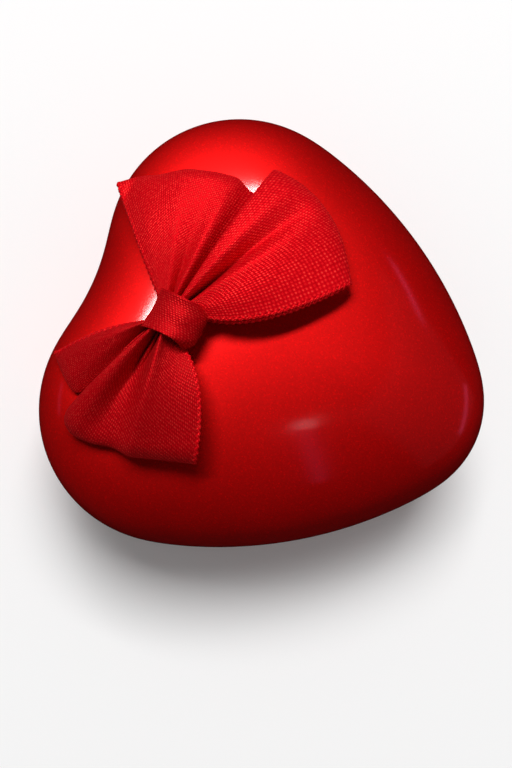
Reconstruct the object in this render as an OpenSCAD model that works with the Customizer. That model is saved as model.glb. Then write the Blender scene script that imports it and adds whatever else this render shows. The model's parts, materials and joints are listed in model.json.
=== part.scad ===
// Heart shaped musical trinket box with a ribbon bow and an eighteen note wind up movement.
// Millimetres, +Z up. Z = 0 is the surface it stands on, X = 0 is the plane of symmetry of the
// heart, +Y points to the cleft and the hinge, and -Y to the tip.

/* [Heart outline] */
// Half the distance between the centres of the two lobes
lobe_x = 16.6; // [16:0.1:18]
// Radius of each lobe
lobe_r = 25.2; // [24.5:0.1:26]
// Radius of the hollow curve of the cleft
cleft_r = 41; // [38:1:46]
// Distance from the line of the lobe centres to the centre of the tip
tip_drop = 36; // [34:0.5:38]
// Radius of the tip
tip_r = 19.3; // [18.5:0.1:20]
// Radius of the long side curves
side_r = 81.2; // [76:0.2:90]

/* [Case] */
// Height of the rim where the body ends
body_top = 30; // [30:0.5:32]
// Height of the widest line of the lid
equator_z = 35; // [35:0.5:37]
// Height of the top of the dome
dome_top = 51; // [50:0.5:54]
// Squareness of the dome, 2 is an ellipse
dome_power = 2.3; // [2:0.1:2.6]
// Thickness of the pressed metal
wall = 1.6; // [1.4:0.1:1.8]
// How far the body stands in from the widest line
body_inset = 4; // [3.6:0.1:4.2]
// Gap between the lid and the body
rim_gap = 0.3; // [0.2:0.05:0.4]

/* [Movement] */
// Length of the bedplate
bed_l = 52; // [52:1:53]
// Width of the bedplate
bed_w = 34; // [34:1:35]
// Radius of the spring housing
housing_r = 8.3; // [8:0.1:8.4]
// Radius of the pinned cylinder
cylinder_r = 5.8; // [5.6:0.1:5.9]
// Length of the pinned cylinder
cylinder_l = 20; // [19.5:0.1:20]
// Number of teeth of the comb
comb_teeth = 18; // [12:1:18]

/* [Gears] */
// Teeth of the crown wheel on the spring arbor
crown_teeth = 36; // [36]
// Teeth of the pinion on the cylinder
pinion_teeth = 12; // [12]
// Teeth of the wheel at the far end of the cylinder
wheel_teeth = 36; // [36]
// Teeth of the pinion of the governor
governor_teeth = 12; // [12]
// Teeth of the worm wheel
worm_wheel_teeth = 20; // [20]

/* [Bow] */
// Place of the knot across the lid
bow_x = -3.4; // [-4:0.2:0]
// Place of the knot from the front to the back of the lid
bow_y = 19.4; // [18:0.2:21]
// Length of the knot along the heart
knot_w = 9; // [8:0.5:10]
// Width of the knot from one loop to the other
knot_l = 7.6; // [7:0.2:8]
// Height of the loops of the bow over the lid
loop_h = 4.5; // [4:0.5:5]

/* [Hidden] */
$fn = 48;
EPS = 0.01;

// ---- outline of the heart, made of arcs that touch ----
lobe_y = (tip_drop + tip_r - lobe_r) / 2;
tip_y = lobe_y - tip_drop;
half_w = lobe_x + lobe_r;
cleft_h = sqrt(pow(cleft_r + lobe_r, 2) - pow(lobe_x, 2));
cleft_a = atan2(lobe_x, cleft_h);
cleft_y = lobe_y + cleft_h;
flank_d = sqrt(pow(lobe_x, 2) + pow(tip_drop, 2));
flank_m = (pow(side_r - lobe_r, 2) - pow(side_r - tip_r, 2) + pow(flank_d, 2)) / (2 * flank_d);
flank_h = sqrt(pow(side_r - lobe_r, 2) - pow(flank_m, 2));
flank_ux = -lobe_x / flank_d;
flank_uy = -tip_drop / flank_d;
side_x = lobe_x + flank_m * flank_ux + flank_h * flank_uy;
side_y = lobe_y + flank_m * flank_uy - flank_h * flank_ux;
side_a0 = atan2(tip_y - side_y, -side_x);
side_a1 = atan2(lobe_y - side_y, lobe_x - side_x);

// Points along an arc, without its last point
function arc(x, y, r, a0, a1, n) =
    [for (i = [0 : n - 1]) let (a = a0 + (a1 - a0) * i / n) [x + r * cos(a), y + r * sin(a)]];

// The right half of the heart, d inside the outline, from the tip to the cleft
function half_heart(d) = concat(
    arc(0, tip_y, tip_r - d, -90, side_a0, 8),
    arc(side_x, side_y, side_r - d, side_a0, side_a1, 8),
    arc(lobe_x, lobe_y, lobe_r - d, side_a1, 90 + cleft_a, 14),
    arc(0, cleft_y, cleft_r + d, cleft_a - 90, -90, 4));

// The whole heart, d inside the outline, anticlockwise from the tip
function heart(d) =
    let (h = half_heart(d))
    let (n = len(h))
    concat(h, [[0, cleft_y - cleft_r - d]], [for (i = [n - 1 : -1 : 1]) [-h[i].x, h[i].y]]);

// A heart at height z, d inside the outline and then scaled to the share s of its width
function ring(d, s, z) = [for (p = heart(d)) [p.x * s, p.y * s, z]];

module heart_plate(d, z0, z1) translate([0, 0, z0]) linear_extrude(z1 - z0) polygon(heart(d));

// A closed skin through a list of rings. The last ring joins the first unless it is capped.
module skin(rings, capped = -1) {
    n = len(rings[0]);
    m = len(rings);
    faces = [for (k = [0 : m - 1]) if (k != capped) for (i = [0 : n - 1])
        let (a = k * n + i)
        let (b = k * n + (i + 1) % n)
        let (c = ((k + 1) % m) * n + i)
        let (d = ((k + 1) % m) * n + (i + 1) % n)
        each [[a, d, b], [a, c, d]]];
    caps = capped < 0 ? [] : [
        [for (i = [n - 1 : -1 : 0]) capped * n + i],
        [for (i = [0 : n - 1]) (capped + 1) * n + i]];
    polyhedron([for (r = rings) each r], concat(faces, caps));
}

// ---- the dome: the outline is drawn in by an even edge first and then scaled to its crown ----
edge_draw = 8;
dome_steps = 13;
function dome_rho(a) = pow(cos(a), 2 / dome_power);
function dome_rise(a) = pow(sin(a), 2 / dome_power);
function dome_ring(a, skin_t) =
    let (rho = dome_rho(a))
    let (d = edge_draw * (1 - pow(rho, 3)))
    let (w = half_w - skin_t)
    let (h = dome_top - equator_z - skin_t)
    ring(d + skin_t, w * rho / (w - d), equator_z + h * dome_rise(a));
// The curl under the widest line of the lid
lid_bottom = body_top + rim_gap;
curl_steps = 4;
function curl_ring(a, skin_t) =
    let (h = equator_z - lid_bottom)
    ring(skin_t + (body_inset - rim_gap) * (1 - cos(a)), 1, equator_z - h * sin(a));

module lid_shell() color("red") {
    last = 86;
    outer = [for (i = [curl_steps : -1 : 1]) curl_ring(90 * i / curl_steps, 0)];
    crown = [for (i = [0 : dome_steps]) dome_ring(last * i / dome_steps, 0)];
    under = [for (i = [dome_steps : -1 : 0]) dome_ring(last * i / dome_steps, wall)];
    inner = [for (i = [1 : curl_steps]) curl_ring(90 * i / curl_steps, wall)];
    skin(concat(outer, crown, under, inner), curl_steps + dome_steps);
}

// ---- body: a skirt with a recess under the base plate for the key ----
foot_h = 1.2;
base_z = 10;
plate_t = 1.5;
bed_z = base_z + plate_t;
belly_z = 12;
belly_draw = 2.6;
belly_steps = 4;
function belly_ring(a, skin_t) =
    ring(body_inset + skin_t + belly_draw * (1 - cos(a)), 1, belly_z - (belly_z - foot_h) * sin(a));
lug_r = 2.8;
LUGS = [[0, 27.5], [-19.6, -14.2], [19.6, -14.2]];
lug_l = 6;
lug_reach = 9;
module lug_holes(r, z0, z1) for (p = LUGS) translate([p.x, p.y, z0]) cylinder(r = r, h = z1 - z0);

module body_shell() color("darkred") difference() {
    union() {
        low = [for (i = [belly_steps : -1 : 0]) belly_ring(90 * i / belly_steps, 0)];
        rim = [ring(body_inset, 1, body_top), ring(body_inset + wall, 1, body_top)];
        back = [for (i = [0 : belly_steps]) belly_ring(90 * i / belly_steps, wall)];
        skin(concat(low, rim, back));
        intersection() {
            union() {
                lug_holes(lug_r, bed_z, bed_z + lug_l);
                for (p = LUGS) translate([p.x, p.y, bed_z])
                    rotate([0, 0, p.x == 0 ? 90 : p.x > 0 ? 0 : 180])
                        translate([0, -lug_r, 0]) cube([lug_reach, 2 * lug_r, lug_l]);
            }
            heart_plate(body_inset + wall / 2, bed_z, bed_z + lug_l);
        }
    }
    lug_holes(0.85, bed_z - 1, bed_z + 5);
}

key_x = -13;
key_y = 8;
arbor_r = 1.7;
module base_plate() color("dimgray") difference() {
    heart_plate(body_inset + wall + 0.25, base_z, bed_z);
    lug_holes(1.2, base_z - 1, bed_z + 1);
    translate([key_x, key_y, base_z - 1]) cylinder(r = arbor_r + 1, h = plate_t + 2);
    movement_holes(1.2, base_z - 1, bed_z + 1);
}

// Pan head screw, head down, with a cross slot
module screw(head_r, head_h, shank_r, shank_l) difference() {
    union() {
        translate([0, 0, -head_h]) cylinder(r = head_r, h = head_h);
        cylinder(r = shank_r, h = shank_l);
    }
    for (a = [0, 90]) rotate([0, 0, a]) translate([-head_r * 0.6, -0.2, -head_h - 1])
        cube([head_r * 1.2, 0.4, 1 + head_h / 2]);
}
module base_screws() color("silver")
    for (p = LUGS) translate([p.x, p.y, base_z]) screw(1.9, 1, 0.8, 5.5);

foot_draw = body_inset + belly_draw + 0.8;
FEET = [
    for (side = [-1, 1]) [side * (lobe_x + (lobe_r - foot_draw) * cos(50)),
                          lobe_y + (lobe_r - foot_draw) * sin(50)],
    for (side = [-1, 1]) [side * (tip_r - foot_draw) * cos(40), tip_y - (tip_r - foot_draw) * sin(40)]];
module foot_pads() color("black") intersection() {
    for (p = FEET) translate([p.x, p.y, 0]) cylinder(r = 7, h = foot_h);
    difference() {
        heart_plate(body_inset + belly_draw + 0.15, 0, foot_h);
        heart_plate(body_inset + belly_draw + wall + 0.9, -1, foot_h + 1);
    }
}

// ---- hinge in the cleft, under the overhang of the lid ----
axis_y = lobe_y + lobe_r - body_inset + 0.35;
axis_z = body_top - 0.4;
knuckle_r = 1.05;
pin_r = 0.55;
knuckle_l = 6;
hinge_l = 14;
cleft_wall_y = cleft_y - cleft_r - body_inset;
module knuckle(x0, x1, r) translate([x0, axis_y, axis_z]) rotate([0, 90, 0]) cylinder(r = r, h = x1 - x0);
module body_hinge_leaf() color("gold") difference() {
    union() {
        knuckle(-knuckle_l / 2, knuckle_l / 2, knuckle_r);
        translate([-knuckle_l / 2, cleft_wall_y + 0.5, axis_z - 0.5]) cube([knuckle_l, 1.4, 0.8]);
        translate([-hinge_l / 2, cleft_wall_y + 0.02, axis_z - 8]) cube([hinge_l, 0.8, 7.2]);
        translate([-knuckle_l / 2, cleft_wall_y + 0.02, axis_z - 1.2]) cube([knuckle_l, 0.8, 1.5]);
    }
    knuckle(-hinge_l, hinge_l, pin_r + 0.04);
    heart_plate(body_inset - 0.02, axis_z - 10, axis_z + 2);
}
module hinge_pin() color("silver") knuckle(-hinge_l / 2 - 0.2, hinge_l / 2 + 0.2, pin_r);
module lid_hinge_leaf() color("gold") for (side = [-1, 1]) difference() {
    x0 = side > 0 ? knuckle_l / 2 + 0.2 : -hinge_l / 2;
    l = hinge_l / 2 - knuckle_l / 2 - 0.2;
    union() {
        knuckle(x0, x0 + l, knuckle_r);
        translate([x0, axis_y - 0.75, axis_z]) cube([l, 1.4, 2.6]);
    }
    knuckle(-hinge_l, hinge_l, pin_r);
}

// ---- bedplate and what stands on it ----
bed_x = 0;
bed_y = 7;
bed_t = 2;
deck_z = bed_z + bed_t;
MOVEMENT_HOLES = [[-22, -6], [23, -6], [2, 20.5]];
module movement_holes(r, z0, z1)
    for (p = MOVEMENT_HOLES) translate([p.x, p.y, z0]) cylinder(r = r, h = z1 - z0);
module bedplate() color("silver") difference() {
    translate([bed_x - bed_l / 2, bed_y - bed_w / 2, bed_z]) cube([bed_l, bed_w, bed_t]);
    movement_holes(0.85, bed_z - 1, deck_z + 1);
    translate([key_x, key_y, bed_z - 1]) cylinder(r = arbor_r + 0.05, h = bed_t + 2);
}
module movement_screws() color("silver")
    for (p = MOVEMENT_HOLES) translate([p.x, p.y, base_z]) screw(1.9, 1, 0.8, plate_t + bed_t);

crown_z = 25.2;
crown_r = 11;
crown_in = 9;
housing_top = 24.6;
module spring_housing() color("silver") translate([key_x, key_y, deck_z]) difference() {
    cylinder(r = housing_r, h = housing_top - deck_z);
    translate([0, 0, 1]) cylinder(r = housing_r - 0.8, h = housing_top - deck_z);
    translate([0, 0, -1]) cylinder(r = arbor_r + 0.05, h = 3);
}

// The coiled spring, a flat spiral strip between the arbor and the wall of the housing
spring_turns = 7;
spring_steps = 20;
function spring_r(t) = arbor_r + 0.9 + (housing_r - 1.2 - arbor_r - 0.9) * t;
function spiral(off) = [for (i = [0 : spring_turns * spring_steps])
    let (t = i / (spring_turns * spring_steps))
    let (a = 360 * spring_turns * t)
    (spring_r(t) + off) * [cos(a), sin(a)]];
module mainspring() color("slategray") translate([key_x, key_y, deck_z + 1.2]) linear_extrude(8.6)
    polygon(concat(spiral(0.11), [for (i = [spring_turns * spring_steps : -1 : 0]) spiral(-0.11)[i]]));

module winding_arbor() color("silver") translate([key_x, key_y, 0]) difference() {
    translate([0, 0, 3]) cylinder(r = arbor_r, h = crown_z + 2 - 3);
    translate([-3, arbor_r - 0.3, 2]) cube([6, 2, 2]);
    translate([-3, -arbor_r - 1.7, 2]) cube([6, 2, 2]);
}

// A butterfly key: a flat two winged plate on a hub
module winding_key() color("gold") translate([key_x, key_y, 0]) difference() {
    union() {
        translate([0, 0, 4.2]) cylinder(r = 3, h = 4.8);
        for (side = [-1, 1]) translate([side * 6, 0.7, 5]) rotate([90, 0, 0]) difference() {
            cylinder(r = 3.3, h = 1.4);
            translate([0, 0, -1]) cylinder(r = 1.5, h = 4);
        }
        translate([-4, -0.7, 3.2]) cube([8, 1.4, 3.6]);
    }
    translate([0, 0, 2.9]) cylinder(r = arbor_r, h = 7);
}

// Crown wheel, its teeth hang down from the rim
crown_tooth_w = 0.62;
crown_tooth_h = 1.1;
crown_tip = crown_z - crown_tooth_h;
module crown_wheel() color("gold") translate([key_x, key_y, crown_z]) difference() {
    union() {
        cylinder(r = crown_r, h = 1);
        for (i = [0 : crown_teeth - 1]) rotate([0, 0, (i + 0.5) * 360 / crown_teeth])
            translate([crown_in, -crown_tooth_w / 2, -crown_tooth_h])
                cube([crown_r - crown_in, crown_tooth_w, crown_tooth_h + 0.5]);
    }
    translate([0, 0, -2]) cylinder(r = arbor_r + 0.05, h = 4);
    for (a = [0 : 120 : 240]) rotate([0, 0, a + 40]) translate([5.5, 0, -1]) cylinder(r = 1.4, h = 4);
}
module ratchet_click() color("silver") translate([key_x, key_y, crown_z + 1.05]) difference() {
    union() {
        cylinder(r = 3.2, h = 0.6);
        for (a = [0 : 120 : 240]) rotate([0, 0, a]) translate([2.4, -0.6, 0]) cube([2.6, 1.2, 0.6]);
    }
    translate([0, 0, -1]) cylinder(r = arbor_r + 0.05, h = 3);
}

// ---- pinned cylinder, comb and train ----
crown_pitch_r = (crown_r + crown_in) / 2;
pinion_r = crown_pitch_r * pinion_teeth / crown_teeth;
shaft_z = crown_z - 0.6 - pinion_r;
drum_x = -1.5;
shaft_r = 0.8;
fit = 0.04;
wheel_module = 0.33;
wheel_r = wheel_module * wheel_teeth / 2;
governor_r = wheel_module * governor_teeth / 2;
train_drop = 25;
train_y = key_y + (wheel_r + governor_r) * cos(train_drop);
train_z = shaft_z - (wheel_r + governor_r) * sin(train_drop);
wheel_x = 19;
wheel_t = 1.2;

// Straight flanked gear outline: pitch radius, teeth, tooth width, height over and under the pitch
// circle, and the angle of the first tooth
module gear_outline(r, teeth, w, over, under, first) polygon([
    for (i = [0 : teeth - 1]) let (a = first + i * 360 / teeth)
    each [for (c = [[r - under, -0.62], [r + over, -0.3], [r + over, 0.3], [r - under, 0.62]])
        let (b = atan2(c.y * w, c.x)) c.x * [cos(a + b), sin(a + b)]]]);

// Moves a piece that stands on Z to lie on an axis along X. Direction e degrees over +Y is at 90 + e.
module along_x(x, y, z) translate([x, y, z]) rotate([0, 90, 0]) children();

module cylinder_arbor() color("silver") along_x(-4.6, key_y, shaft_z) cylinder(r = shaft_r, h = 26.2);
module cylinder_pinion() color("gold") along_x(key_x + crown_in + 0.1, key_y, shaft_z) difference() {
    linear_extrude(crown_r - crown_in - 0.2) gear_outline(pinion_r, pinion_teeth, 0.8, 0.42, 0.65, 180);
    translate([0, 0, -1]) cylinder(r = shaft_r, h = 5);
}

// The pins that play the tune, in one track for each tooth of the comb
pins_per_track = 4;
pin_h = 0.45;
module drum_pins() for (i = [0 : comb_teeth - 1]) for (k = [0 : pins_per_track - 1])
    translate([0, 0, (i + 0.5) * cylinder_l / comb_teeth])
        rotate([0, 90, (i * 137 + k * 90 + (i * k * 31) % 60) % 360])
            translate([0, 0, cylinder_r - 0.6]) cylinder(r = 0.2, h = 0.6 + pin_h, $fn = 6);
module cylinder_drum() color("gold") along_x(drum_x, key_y, shaft_z) difference() {
    union() {
        cylinder(r = cylinder_r, h = cylinder_l);
        drum_pins();
    }
    translate([0, 0, -1]) cylinder(r = shaft_r, h = cylinder_l + 2);
    translate([0, 0, -1]) cylinder(r = cylinder_r - 1, h = 1.6);
    translate([0, 0, cylinder_l - 0.6]) cylinder(r = cylinder_r - 1, h = 1.6);
}
module cylinder_wheel() color("gold") along_x(wheel_x, key_y, shaft_z) difference() {
    linear_extrude(wheel_t)
        gear_outline(wheel_r, wheel_teeth, 0.4, 0.27, 0.4, 90 - train_drop + 180 / wheel_teeth);
    translate([0, 0, -1]) cylinder(r = shaft_r, h = 4);
}

post_x = 20.6;
left_post_x = -4.65;
post_w = 5;
post_t = 0.6;
module bearing_post_left() color("silver") difference() {
    translate([left_post_x, key_y - post_w / 2, deck_z]) cube([post_t, post_w, shaft_z + 1.8 - deck_z]);
    along_x(-6, key_y, shaft_z) cylinder(r = shaft_r + fit, h = 4);
}
governor_shaft_r = 0.5;
module bearing_post_right() color("silver") difference() {
    translate([post_x, key_y - 3, deck_z]) cube([0.8, train_y + 5 - key_y, shaft_z + 2.6 - deck_z]);
    along_x(post_x - 1, key_y, shaft_z) cylinder(r = shaft_r + fit, h = 4);
    along_x(post_x - 1, train_y, train_z) cylinder(r = governor_shaft_r + fit, h = 4);
}

comb_t = 0.8;
comb_tip_y = key_y - cylinder_r - pin_h - 0.08;
comb_back_y = -9.1;
comb_root_y = -4.6;
slit = 0.25;
slit_y = comb_root_y + 1.8;
slit_rake = 0.08;
comb_step = 0.2;
COMB_SCREWS = [[3, -7.2], [14, -7.2]];
module comb() color("lightgray") difference() {
    translate([drum_x, comb_back_y, shaft_z - comb_t / 2])
        cube([cylinder_l, comb_tip_y - comb_back_y, comb_t]);
    for (i = [1 : comb_teeth - 1])
        translate([drum_x + i * cylinder_l / comb_teeth - slit / 2, slit_y - slit_rake * i, shaft_z - 1])
            cube([slit, 12, 2]);
    for (p = COMB_SCREWS) translate([p.x, p.y, shaft_z - 2]) cylinder(r = 0.9, h = 4);
}
module comb_block() color("silver") difference() {
    translate([drum_x - 1, comb_back_y - comb_step, deck_z])
        cube([cylinder_l + 2, comb_root_y - comb_back_y + comb_step, shaft_z - comb_t / 2 - deck_z]);
    for (p = COMB_SCREWS) translate([p.x, p.y, shaft_z - 5]) cylinder(r = 0.8, h = 8);
}
module comb_screws() color("gold") for (p = COMB_SCREWS)
    translate([p.x, p.y, shaft_z + comb_t / 2]) rotate([180, 0, 0]) screw(1.7, 0.9, 0.75, 4);

// ---- governor: worm wheel, worm and air brake ----
worm_pitch = 1.2;
worm_starts = 2;
worm_wheel_r = worm_pitch * worm_wheel_teeth / (2 * PI);
worm_r = 1.1;
worm_x = 22.6;
worm_y = train_y + worm_wheel_r + worm_r;
worm_wheel_t = 0.8;
module worm_wheel_arbor() color("silver") along_x(18.8, train_y, train_z)
    cylinder(r = governor_shaft_r, h = 6.1);
module worm_wheel_pinion() color("gold") along_x(wheel_x, train_y, train_z) difference() {
    linear_extrude(wheel_t)
        gear_outline(governor_r, governor_teeth, 0.4, 0.27, 0.4, 270 - train_drop);
    translate([0, 0, -1]) cylinder(r = governor_shaft_r, h = 4);
}
module worm_wheel() color("white") along_x(worm_x - worm_wheel_t / 2, train_y, train_z) difference() {
    linear_extrude(worm_wheel_t)
        gear_outline(worm_wheel_r, worm_wheel_teeth, 0.34, 0.3, 0.5, 90 + 180 / worm_wheel_teeth);
    translate([0, 0, -1]) cylinder(r = governor_shaft_r, h = 4);
}

// One start of the thread: a ridge that climbs round the shaft
thread_turns = 2;
thread_sides = 12;
thread_half = 0.12;
module thread(start) {
    steps = thread_turns * thread_sides;
    lead = worm_pitch * worm_starts;
    points = [for (i = [0 : steps]) let (t = i / thread_sides - thread_turns / 2)
        for (c = [[0.5, -0.28], [1.42, -thread_half], [1.42, thread_half], [0.5, 0.28]])
            let (a = 360 * t + start)
            [c.x * cos(a), c.x * sin(a), lead * t + c.y]];
    sides = [for (i = [0 : steps - 1]) for (k = [0 : 3])
        let (a = 4 * i + k)
        let (b = 4 * i + (k + 1) % 4)
        each [[a, b, b + 4], [a, b + 4, a + 4]]];
    ends = [[3, 2, 1, 0], [for (k = [0 : 3]) 4 * steps + k]];
    polyhedron(points, concat(sides, ends));
}
worm_shaft_r = 0.7;
pivot_r = 0.4;
arm_z = 26;
module worm_shaft() color("silver") translate([worm_x, worm_y, 0]) {
    translate([0, 0, deck_z + 0.1]) cylinder(r = pivot_r, h = arm_z + 0.6 - deck_z);
    translate([0, 0, deck_z + 0.9]) cylinder(r = worm_shaft_r, h = 7.2);
    translate([0, 0, train_z]) for (start = [-90, 90]) thread(start);
}
fan_r = 2.4;
module air_brake_fan() color("white") translate([worm_x, worm_y, 21.8]) difference() {
    union() {
        cylinder(r = 0.9, h = 3.8);
        translate([-fan_r, -0.15, 0.2]) cube([2 * fan_r, 0.3, 3.4]);
    }
    translate([0, 0, -1]) cylinder(r = pivot_r, h = 6);
}
frame_x = 24.3;
module governor_frame() color("silver") difference() {
    union() {
        translate([frame_x, 7.6, deck_z]) cube([0.7, 15.2, 7]);
        translate([frame_x, 13.4, deck_z]) cube([0.7, 3.6, arm_z + 0.8 - deck_z]);
        translate([frame_x - 2.7, 13.4, arm_z]) cube([3.4, 8.4, 0.8]);
        translate([frame_x - 2.7, 18.6, deck_z]) cube([3, 3.4, 0.6]);
        translate([frame_x - 2.7, 7.6, deck_z]) cube([3, 4, 0.6]);
    }
    translate([worm_x, worm_y, deck_z - 1]) cylinder(r = pivot_r + fit, h = 16);
    along_x(frame_x - 1, train_y, train_z) cylinder(r = governor_shaft_r + fit, h = 4);
    translate([governor_screw_x, governor_screw_y, deck_z - 1]) cylinder(r = 0.7, h = 3);
}
governor_screw_x = 22.8;
governor_screw_y = 9.3;
module governor_screw() color("silver")
    translate([governor_screw_x, governor_screw_y, deck_z + 0.6]) rotate([180, 0, 0])
        screw(1.3, 0.8, 0.65, 0.58);

// ---- stop: a rod that the lid lets rise, with a finger beside the air brake ----
rod_x = 28.2;
rod_y = worm_y;
rod_r = 0.5;
rod_top = 31;
finger_z = 24;
module stop_bracket() color("silver") difference() {
    translate([rod_x - 1.4, rod_y - 1.5, bed_z]) cube([2.8, 3, 8]);
    translate([rod_x, rod_y, bed_z - 1]) cylinder(r = rod_r + fit, h = 11);
}
module stop_plunger() color("gold") {
    translate([rod_x, rod_y, bed_z + 0.3]) cylinder(r = rod_r, h = rod_top - bed_z - 0.3);
    along_x(worm_x + fan_r + 0.3, rod_y, finger_z) cylinder(r = 0.35, h = rod_x - worm_x - fan_r - 0.3);
}

// ---- cover, insert and lid furniture ----
cover_top = 28.3;
cover_t = 0.6;
module movement_cover() color("lightblue", 0.4) difference() {
    translate([-bed_l / 2, bed_y - bed_w / 2, deck_z]) cube([bed_l, bed_w, cover_top - deck_z]);
    translate([-bed_l / 2 + cover_t, bed_y - bed_w / 2 + cover_t, deck_z - 1])
        cube([bed_l - 2 * cover_t, bed_w - 2 * cover_t, cover_top - cover_t - deck_z + 1]);
    translate([bed_l / 2 - 2, rod_y - 0.8, deck_z - 1]) cube([4, 1.6, cover_top - deck_z - 0.7]);
}

insert_z = 28.4;
insert_t = 0.8;
well_y0 = -30.5;
well_y1 = -12.5;
well_z = 18.6;
module well_plan(out) intersection() {
    polygon(heart(body_inset + wall + 2.2 - out));
    translate([-24 - out, well_y0 - out]) square([48 + 2 * out, well_y1 - well_y0 + 2 * out]);
}
magnet_y = -32.8;
magnet_r = 1.4;
module insert_tray() color("maroon") difference() {
    union() {
        heart_plate(body_inset + wall + 0.15, insert_z, insert_z + insert_t);
        translate([0, 0, well_z - insert_t]) linear_extrude(insert_z - well_z + 1) well_plan(insert_t);
    }
    translate([0, 0, well_z]) linear_extrude(20) well_plan(0);
    translate([-20, bed_y - 12, insert_z - 1]) cube([41, 26, 3]);
    translate([rod_x, rod_y, insert_z - 1]) cylinder(r = rod_r + 0.3, h = 3);
    translate([0, magnet_y, insert_z - 1]) cylinder(r = magnet_r, h = 3);
}
module body_magnet() color("silver") translate([0, magnet_y, insert_z - 0.6])
    cylinder(r = magnet_r, h = 1.4);

panel_z = 31.2;
panel_draw = 3.2;
module lid_panel() color("maroon") heart_plate(panel_draw, panel_z, panel_z + 1.2);
module heart_mirror() color("lightblue") heart_plate(13, panel_z - 0.8, panel_z);
module lid_magnet() color("silver") translate([0, magnet_y, panel_z - 1.1]) cylinder(r = magnet_r, h = 1.1);

// ---- bow on the dome ----
// Height of the dome over a point of the plan
EDGE = concat(heart(0), [heart(0)[0]]);
EDGE_TABLE = [for (i = [0 : len(EDGE) - 1]) let (a = atan2(EDGE[i].x, -EDGE[i].y))
    [i == len(EDGE) - 1 ? 360 : (a < 0 ? a + 360 : a), norm(EDGE[i])]];
function turn(x, y) = let (a = atan2(x, -y)) a < 0 ? a + 360 : a;
function dome_at(x, y) =
    let (rho = min(0.995, norm([x, y]) / lookup(turn(x, y), EDGE_TABLE)))
    equator_z + (dome_top - equator_z) * pow(1 - pow(rho, dome_power), 1 / dome_power);
loop_steps = 8;
loop_gap = 0.9;
loop_edge = 1.2;
pinch_w = 7.6;
// Reach of the right loop from the knot, by direction over +X, and of the left loop over -X
RIGHT_REACH = [
    [-56, 32.4], [-47, 33], [-34, 33.6], [-19, 33.8], [-7, 33], [0, 29], [8, 28.3], [30, 27.4], [45, 26]];
LEFT_REACH = [
    [-30, 25], [-12, 24.4], [-2, 25], [5, 24.5], [14, 26], [22, 27], [31, 24.4], [40, 22], [56, 22.8]];
loop_in = knot_l / 2 + 0.2;
module bow_loop(side, reach) {
    a0 = reach[0][0];
    a1 = reach[len(reach) - 1][0];
    n = loop_steps + 1;
    grid = [for (i = [0 : loop_steps]) for (j = [0 : loop_steps])
        let (a = a0 + (a1 - a0) * j / loop_steps)
        let (out = lookup(a, reach) * [cos(a), sin(a)])
        let (in = [loop_in, pinch_w * (j / loop_steps - 0.5)])
        let (p = in + (out - in) * i / loop_steps)
        [bow_x + side * p.x, bow_y + p.y]];
    low = [for (p = grid) [p.x, p.y, dome_at(p.x, p.y) + loop_gap]];
    high = [for (k = [0 : n * n - 1]) let (i = floor(k / n))
        let (rise = loop_edge + (loop_h - loop_edge) * sin(25 + 110 * i / loop_steps))
        [low[k].x, low[k].y, low[k].z + rise]];
    m = n * n;
    top = [for (i = [0 : loop_steps - 1]) for (j = [0 : loop_steps - 1]) let (a = i * n + j)
        each [[m + a, m + a + n + 1, m + a + n], [m + a, m + a + 1, m + a + n + 1]]];
    under = [for (i = [0 : loop_steps - 1]) for (j = [0 : loop_steps - 1]) let (a = i * n + j)
        each [[a, a + n, a + n + 1], [a, a + n + 1, a + 1]]];
    rim = concat(
        [for (i = [0 : loop_steps - 1]) i * n],
        [for (j = [0 : loop_steps - 1]) loop_steps * n + j],
        [for (i = [loop_steps : -1 : 1]) i * n + loop_steps],
        [for (j = [loop_steps : -1 : 1]) j]);
    q = len(rim);
    edge = [for (k = [0 : q - 1]) let (a = rim[k]) let (b = rim[(k + 1) % q])
        each [[a, m + a, m + b], [a, m + b, b]]];
    faces = concat(top, under, edge);
    polyhedron(concat(low, high), side > 0 ? faces : [for (f = faces) [f[2], f[1], f[0]]]);
}
module bow_loop_right() color("crimson") bow_loop(1, RIGHT_REACH);
module bow_loop_left() color("crimson") bow_loop(-1, LEFT_REACH);
knot_h = 5;
knot_tilt = -12;
tape_r = 2.6;
tape_t = 1.2;
module on_dome() translate([bow_x, bow_y, dome_at(bow_x, bow_y) + tape_t - 0.4]) rotate([knot_tilt, 0, 0])
    children();
module bow_knot() color("crimson") on_dome() translate([-knot_l / 2, -knot_w / 2, 0])
    cube([knot_l, knot_w, knot_h]);
module bow_tape() color("white") on_dome() translate([0, 0, -tape_t]) cylinder(r = tape_r, h = tape_t);

body_shell();
base_plate();
base_screws();
foot_pads();
body_hinge_leaf();
hinge_pin();
insert_tray();
movement_cover();
bedplate();
movement_screws();
spring_housing();
mainspring();
winding_arbor();
winding_key();
crown_wheel();
ratchet_click();
cylinder_drum();
cylinder_arbor();
cylinder_pinion();
cylinder_wheel();
bearing_post_left();
bearing_post_right();
comb();
comb_block();
comb_screws();
governor_frame();
governor_screw();
worm_wheel();
worm_wheel_pinion();
worm_wheel_arbor();
worm_shaft();
air_brake_fan();
stop_bracket();
stop_plunger();
body_magnet();
lid_shell();
lid_panel();
heart_mirror();
lid_hinge_leaf();
lid_magnet();
bow_knot();
bow_loop_left();
bow_loop_right();
bow_tape();
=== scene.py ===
"""Looks of the heart shaped music box: a red flake enamel case with a satin ribbon bow."""
import json
import math

import bmesh
import bpy
import numpy as np
from mathutils import Matrix, Vector


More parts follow.
